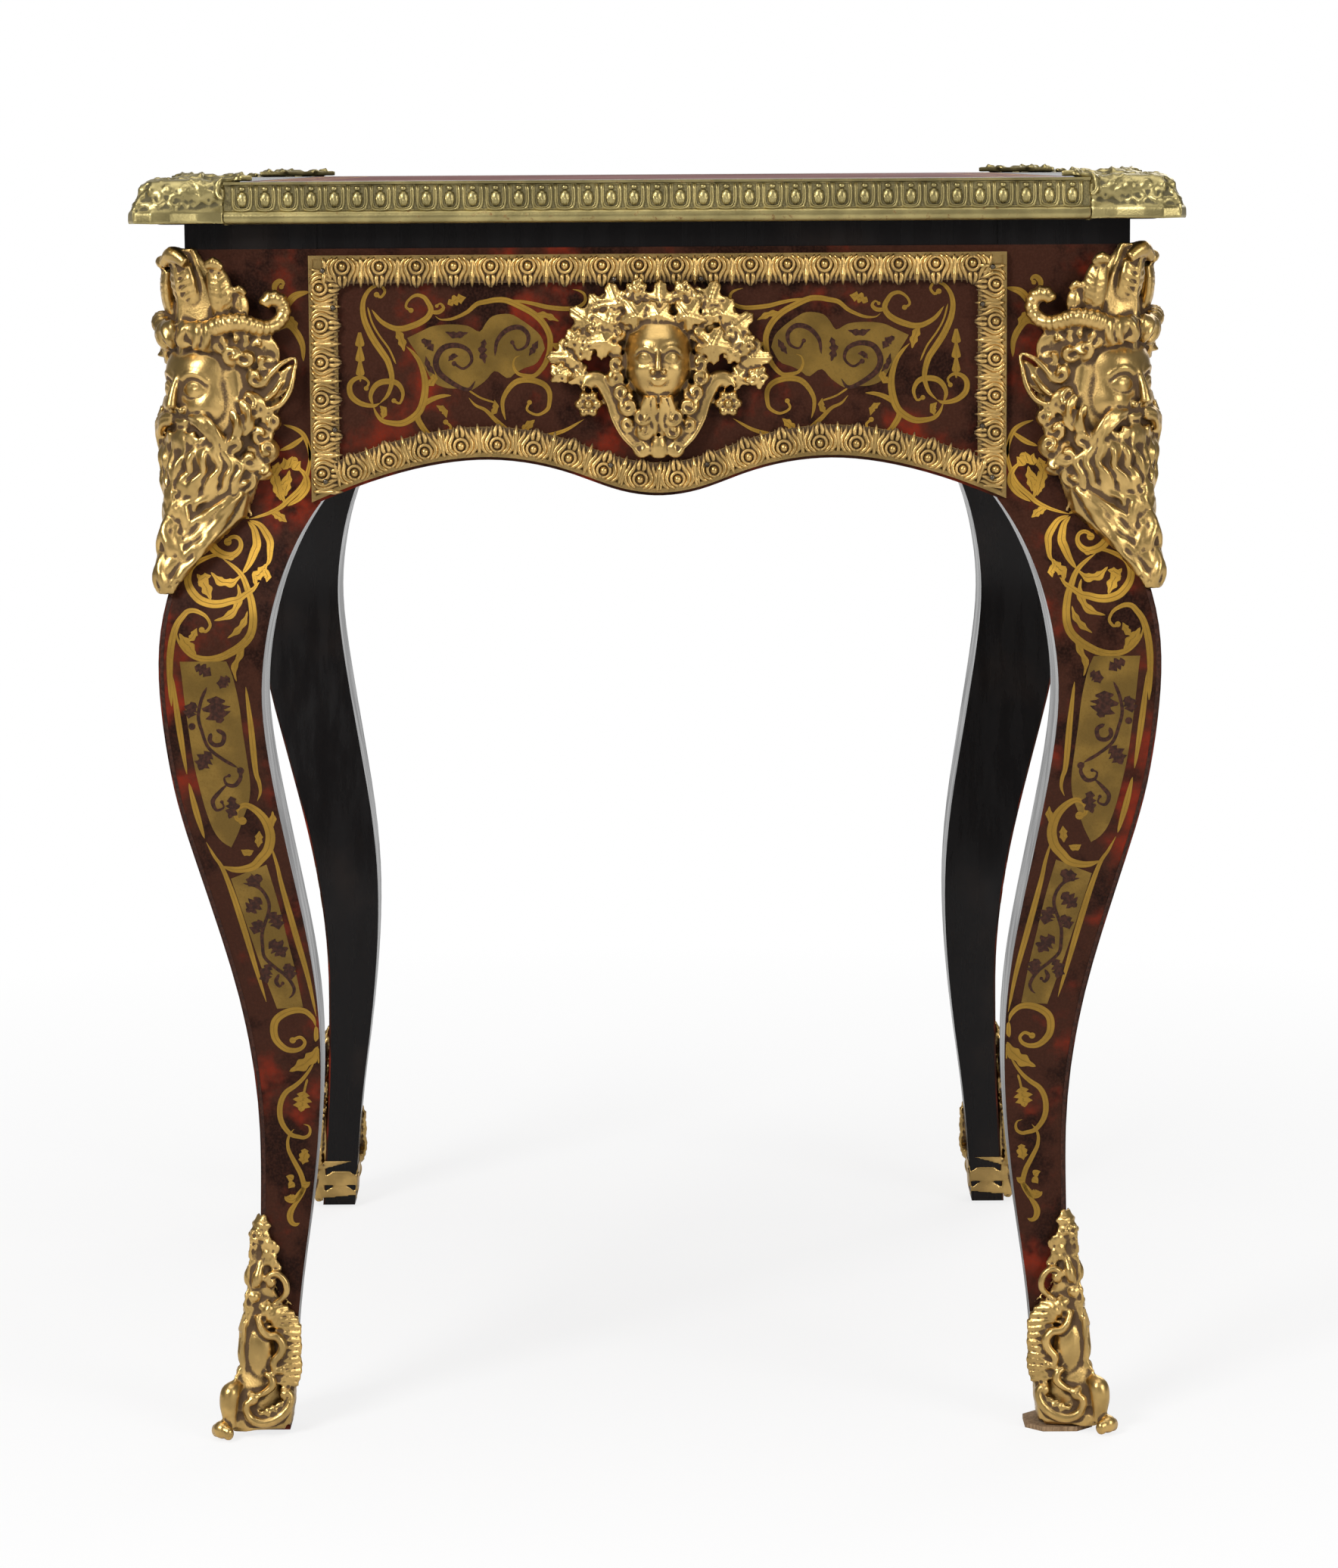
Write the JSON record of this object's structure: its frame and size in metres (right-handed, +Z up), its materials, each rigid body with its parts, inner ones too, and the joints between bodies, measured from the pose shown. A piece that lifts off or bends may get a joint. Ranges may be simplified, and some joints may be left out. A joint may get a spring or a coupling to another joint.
{
  "type": "writing desk",
  "caption": "Free-standing writing desk with cabriole legs, a leather writing top, gilt bronze mounts, shell and brass marquetry and a locking frieze drawer.",
  "frame": {"origin": "on the floor under the middle of the desk", "axes": "+X along the desk towards the pictured short end, -Y towards the drawer side, +Z up"},
  "size_m": [0.7762, 0.6312, 0.7795],
  "materials": {
    "ebonised_wood": "black French-polished hardwood",
    "marquetry": "red shell and engraved brass sheet, polished",
    "drawer_wood": "bare oak, lightly waxed",
    "leather": "aged red writing leather with a tooled border",
    "gilt_bronze": "chased and gilt bronze with dark recesses",
    "edge_brass": "duller lacquered bronze of the top edge",
    "steel": "old iron screws",
    "pad_cork": "worn brown glide pad"
  },
  "bodies": {
    "root": {"apron_back": "ebonised_wood", "apron_left": "ebonised_wood", "apron_marquetry_back": "marquetry", "apron_marquetry_left": "marquetry", "apron_marquetry_right": "marquetry", "apron_right": "ebonised_wood", "corner_mount_back_left": "edge_brass", "corner_mount_back_right": "edge_brass", "corner_mount_front_left": "edge_brass", "corner_mount_front_right": "edge_brass", "drawer_guides": "drawer_wood", "drawer_kickers": "drawer_wood", "drawer_runner_left": "drawer_wood", "drawer_runner_right": "drawer_wood", "edge_moulding_back": "edge_brass", "edge_moulding_front": "edge_brass", "edge_moulding_left": "edge_brass", "edge_moulding_right": "edge_brass", "front_bottom_rail": "drawer_wood", "front_top_rail": "ebonised_wood", "glue_blocks": "drawer_wood", "leather_inset": "leather", "leg_back_left": "ebonised_wood", "leg_back_right": "ebonised_wood", "leg_front_left": "ebonised_wood", "leg_front_right": "ebonised_wood", "leg_marquetry_back_left": "marquetry", "leg_marquetry_back_right": "marquetry", "leg_marquetry_front_left": "marquetry", "leg_marquetry_front_right": "marquetry", "levelling_pad": "pad_cork", "lock_strike": "gilt_bronze", "mask_back": "gilt_bronze", "mask_left": "gilt_bronze", "mask_right": "gilt_bronze", "panel_frame_back": "gilt_bronze", "panel_frame_left": "gilt_bronze", "panel_frame_right": "gilt_bronze", "sabot_back_left": "gilt_bronze", "sabot_back_right": "gilt_bronze", "sabot_front_left": "gilt_bronze", "sabot_front_right": "gilt_bronze", "satyr_chute_back_left": "gilt_bronze", "satyr_chute_back_right": "gilt_bronze", "satyr_chute_front_left": "gilt_bronze", "satyr_chute_front_right": "gilt_bronze", "top_panel": "ebonised_wood", "top_screws": "steel"},
    "drawer": {"drawer_back": "drawer_wood", "drawer_bottom": "drawer_wood", "drawer_frame": "gilt_bronze", "drawer_front": "drawer_wood", "drawer_marquetry": "marquetry", "drawer_side_left": "drawer_wood", "drawer_side_right": "drawer_wood", "escutcheon": "gilt_bronze", "lock_case": "gilt_bronze"},
    "lock_bolt": {"lock_bolt": "gilt_bronze"},
    "key": {"key": "gilt_bronze"}
  },
  "joints": [
    {"name": "drawer_slide", "type": "slide", "parent": "root", "child": "drawer", "axis": [0, -1, 0], "range_m": [0, 0.36]},
    {"name": "bolt_slide", "type": "slide", "parent": "drawer", "child": "lock_bolt", "axis": [0, 0, 1], "range_m": [0, 0.0078]},
    {"name": "key_turn", "type": "hinge", "parent": "drawer", "child": "key", "pos_m": [0, -0.2834, 0.696], "axis": [0, -1, 0], "range_deg": [0, 100]}
  ],
  "couplings": [
    {"joint": "key_turn", "follows": "bolt_slide", "rad_per_m": 200}
  ]
}
